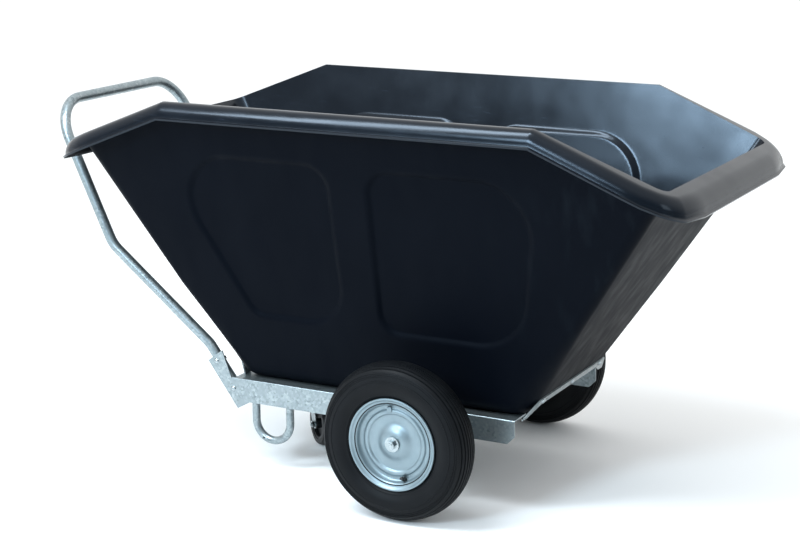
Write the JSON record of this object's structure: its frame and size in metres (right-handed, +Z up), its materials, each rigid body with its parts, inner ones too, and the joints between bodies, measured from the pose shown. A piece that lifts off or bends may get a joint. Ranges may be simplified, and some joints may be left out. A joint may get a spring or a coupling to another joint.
{
  "type": "garden cart",
  "caption": "Two-wheeled garden cart with a deep black plastic tub, galvanised frame and push handle, air-filled wheels and a swivel castor at the rear.",
  "frame": {"origin": "on the ground, below the middle of the whole cart", "axes": "+X forward, away from the handle; +Y to the left; +Z up"},
  "size_m": [1.845, 0.941, 0.987],
  "materials": {
    "black_plastic": "low sheen, moulded",
    "galvanised_steel": "hot-dip galvanised",
    "zinc_plated_steel": "bright zinc plated",
    "rim_steel": "silver grey, satin",
    "tyre_rubber": "black rubber",
    "black_rubber": "matt",
    "nylon": "natural",
    "castor_core_plastic": "matt"
  },
  "bodies": {
    "chassis": {"tub": "black_plastic", "rail_left": "galvanised_steel", "rail_right": "galvanised_steel", "front_strap": "galvanised_steel", "rear_strap": "galvanised_steel", "handle": "galvanised_steel", "foot_loop_left": "galvanised_steel", "foot_loop_right": "galvanised_steel", "castor_crossmember": "galvanised_steel", "handle_bolts": "zinc_plated_steel", "handle_nuts": "zinc_plated_steel", "strap_bolts": "zinc_plated_steel", "strap_washers": "zinc_plated_steel", "strap_nuts": "zinc_plated_steel", "axle": "zinc_plated_steel", "axle_spacers": "zinc_plated_steel", "axle_washers": "zinc_plated_steel", "axle_nuts": "zinc_plated_steel", "castor_plate": "zinc_plated_steel", "castor_plate_bolts": "zinc_plated_steel", "castor_plate_nuts": "zinc_plated_steel", "castor_kingpin": "zinc_plated_steel", "castor_race": "zinc_plated_steel"},
    "wheel_left": {"tyre_left": "tyre_rubber", "inner_tube_left": "black_rubber", "rim_disc_left": "rim_steel", "rim_barrel_left": "rim_steel", "valve_left": "black_rubber", "hub_left": "zinc_plated_steel", "wheel_bushes_left": "nylon"},
    "wheel_right": {"tyre_right": "tyre_rubber", "inner_tube_right": "black_rubber", "rim_disc_right": "rim_steel", "rim_barrel_right": "rim_steel", "valve_right": "black_rubber", "hub_right": "zinc_plated_steel", "wheel_bushes_right": "nylon"},
    "castor_swivel": {"castor_balls": "zinc_plated_steel", "castor_fork": "zinc_plated_steel", "castor_sleeve": "zinc_plated_steel", "castor_axle_bolt": "zinc_plated_steel", "castor_axle_nut": "zinc_plated_steel"},
    "castor_wheel": {"castor_wheel_core": "castor_core_plastic", "castor_tyre": "black_rubber"}
  },
  "joints": [
    {"name": "left_wheel_spin", "type": "hinge", "parent": "chassis", "child": "wheel_left", "pos_m": [0.2055, 0.422, 0.2], "axis": [0, 1, 0], "continuous": true},
    {"name": "right_wheel_spin", "type": "hinge", "parent": "chassis", "child": "wheel_right", "pos_m": [0.2055, -0.422, 0.2], "axis": [0, 1, 0], "continuous": true},
    {"name": "castor_swivel_turn", "type": "hinge", "parent": "chassis", "child": "castor_swivel", "pos_m": [-0.2705, 0, 0.17], "axis": [0, 0, 1], "continuous": true},
    {"name": "castor_wheel_spin", "type": "hinge", "parent": "castor_swivel", "child": "castor_wheel", "pos_m": [-0.23986, -0.02571, 0.0625], "axis": [0.6428, 0.766, 0], "continuous": true}
  ]
}
